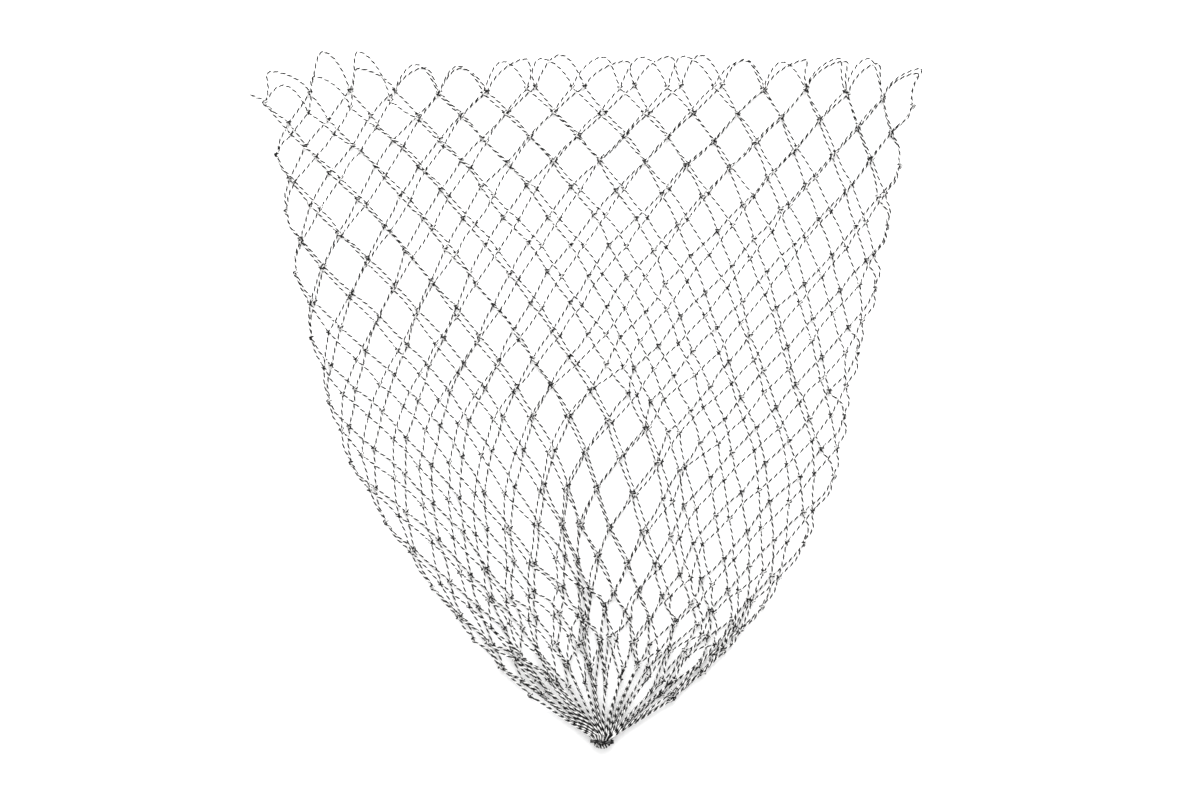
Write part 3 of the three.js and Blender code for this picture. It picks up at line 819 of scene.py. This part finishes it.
class NetTwineSizes(bpy.types.PropertyGroup):
    """Sizes of the net's twine."""

    thickness: FloatProperty(
        name="Thickness",
        description="Thickness of the laid twine",
        default=0.00162,
        min=0.0005,
        unit="LENGTH",
        precision=5,
    )
    lay: FloatProperty(
        name="Lay",
        description="Length in which the two plies turn once round each other",
        default=0.0053,
        min=0.002,
        unit="LENGTH",
        precision=5,
    )


class NetTwineLook(bpy.types.PropertyGroup):
    """Colours of the net's twine."""

    dark: FloatVectorProperty(
        name="Dark ply",
        description="Colour of the dark ply",
        default=(0.006, 0.006, 0.0065),
        min=0,
        max=1,
        subtype="COLOR",
        size=3,
    )
    pale: FloatVectorProperty(
        name="Pale ply",
        description="Colour of the pale ply",
        default=(0.83, 0.825, 0.815),
        min=0,
        max=1,
        subtype="COLOR",
        size=3,
    )
    tie: FloatVectorProperty(
        name="Draw twine's second ply",
        description="Colour of the draw twine's paler ply",
        default=(0.1, 0.1, 0.1),
        min=0,
        max=1,
        subtype="COLOR",
        size=3,
    )
    # Painted shade: the dark ply takes more of the turn in knots so that they read darker, standing for
    # the shadow among the crowded twine.
    knot_spread: FloatProperty(
        name="Knot spread",
        description="Share of the turn that the dark ply gains on each side in knots",
        default=0.03,
        min=0,
        max=0.2,
        subtype="FACTOR",
    )
    # Painted shade: the pale ply is darkened in knots, standing for the shadow among the crowded twine.
    knot_painted_shade: FloatProperty(
        name="Knot shade",
        description="How much darker the pale ply is in knots",
        default=0.12,
        min=0,
        max=1,
        subtype="FACTOR",
    )


class NetStage(bpy.types.PropertyGroup):
    """Floor, light and camera round the net."""

    floor: FloatVectorProperty(
        name="Floor",
        description="Colour of the floor",
        default=(0.92, 0.92, 0.92),
        min=0,
        max=1,
        subtype="COLOR",
        size=3,
    )
    glow: FloatProperty(
        name="Floor glow",
        description="Light that the floor gives off, as a lit table does",
        default=0.15,
        min=0,
    )
    sky: FloatProperty(
        name="Soft light",
        description="Strength of the even light from all sides",
        default=0.95,
        min=0,
    )
    lamp: FloatProperty(
        name="Lamp",
        description="Power of the large lamp beyond the mouth",
        default=32,
        min=0,
        unit="POWER",
    )
    distance: FloatProperty(
        name="Camera height",
        description="Height of the camera over the net",
        default=3.2,
        min=0.5,
        unit="LENGTH",
    )


class NETBAG_OT_mouth_loops(bpy.types.Operator):
    """Makes the free loops round the mouth"""

    bl_idname = "netbag.mouth_loops"
    bl_label = "Mouth loops"

    def execute(self, context):
        add_net_piece(context, "mouth_loops", *loop_course(), True)
        return {"FINISHED"}


class NETBAG_OT_mesh_rows(bpy.types.Operator):
    """Knots the rows of diamond meshes, four rows to a piece, and the last row that runs through the
    neck"""

    bl_idname = "netbag.mesh_rows"
    bl_label = "Mesh rows"

    def execute(self, context):
        for i in range((ROWS - 1) // PIECE_ROWS):
            rows = slice(i * PIECE_ROWS, (i + 1) * PIECE_ROWS)
            add_net_piece(context, "mesh_rows_%d" % (i + 1), *row_courses(rows, STRAND_RINGS), True)
        last = slice(ROWS - 1, ROWS)
        add_net_piece(context, "drawn_row", *row_courses(last, DRAWN_RINGS), True)
        return {"FINISHED"}


class NETBAG_OT_loose_end(bpy.types.Operator):
    """Lays out the loose end of the twine at the mouth's left corner"""

    bl_idname = "netbag.loose_end"
    bl_label = "Loose end"

    def execute(self, context):
        place = np.linspace(0, len(LOOSE_END) - 1, LOOSE_POINTS)
        path = smooth_at(LOOSE_END, 1, place)[None]
        add_net_piece(context, "loose_end", path, np.zeros(path.shape[:2]), False)
        return {"FINISHED"}


class NETBAG_OT_draw_twine(bpy.types.Operator):
    """Winds the draw twine round the neck of the gathered end"""

    bl_idname = "netbag.draw_twine"
    bl_label = "Draw twine"

    def execute(self, context):
        scene, path = context.scene, tie_turns()
        mesh = twine_mesh("draw_twine_turns", path, np.zeros(path.shape[:2]), scene.net_twine, False)
        material = twine_material("dark_draw_twine", scene.net_look, scene.net_look.tie)
        add_piece(context, mesh, TIE_NODE, material)
        return {"FINISHED"}


class NETBAG_OT_stage(bpy.types.Operator):
    """Makes the pale floor, the soft light and the camera above the net"""

    bl_idname = "netbag.stage"
    bl_label = "Stage"

    def execute(self, context):
        for add in (add_floor, add_light, add_camera):
            add(context.scene, context.scene.net_stage)
        return {"FINISHED"}


GROUPS = {"net_twine": NetTwineSizes, "net_look": NetTwineLook, "net_stage": NetStage}
STEPS = (
    NETBAG_OT_mouth_loops,
    NETBAG_OT_mesh_rows,
    NETBAG_OT_loose_end,
    NETBAG_OT_draw_twine,
    NETBAG_OT_stage,
)


class NETBAG_PT_panel(bpy.types.Panel):
    """Sizes, colours and steps of the net bag"""

    bl_label = "Net bag"
    bl_idname = "NETBAG_PT_panel"
    bl_space_type = "VIEW_3D"
    bl_region_type = "UI"
    bl_category = "Net bag"

    def draw(self, context):
        for key in GROUPS:
            group = getattr(context.scene, key)
            for name in group.__annotations__:
                self.layout.prop(group, name)
        for step in STEPS:
            self.layout.operator(step.bl_idname)


def register():
    """Registers all classes, and gives every scene the net bag's properties."""
    for item in (*GROUPS.values(), *STEPS, NETBAG_PT_panel):
        bpy.utils.register_class(item)
    for name, group in GROUPS.items():
        setattr(bpy.types.Scene, name, PointerProperty(type=group))


def unregister():
    """Takes back what register did."""
    for name in GROUPS:
        delattr(bpy.types.Scene, name)
    for item in (NETBAG_PT_panel, *reversed(STEPS), *reversed(GROUPS.values())):
        bpy.utils.unregister_class(item)


def main():
    """Makes the net bag and its stage."""
    register()
    bpy.ops.netbag.mouth_loops()
    bpy.ops.netbag.mesh_rows()
    bpy.ops.netbag.loose_end()
    bpy.ops.netbag.draw_twine()
    bpy.ops.netbag.stage()


if __name__ == "__main__":
    main()
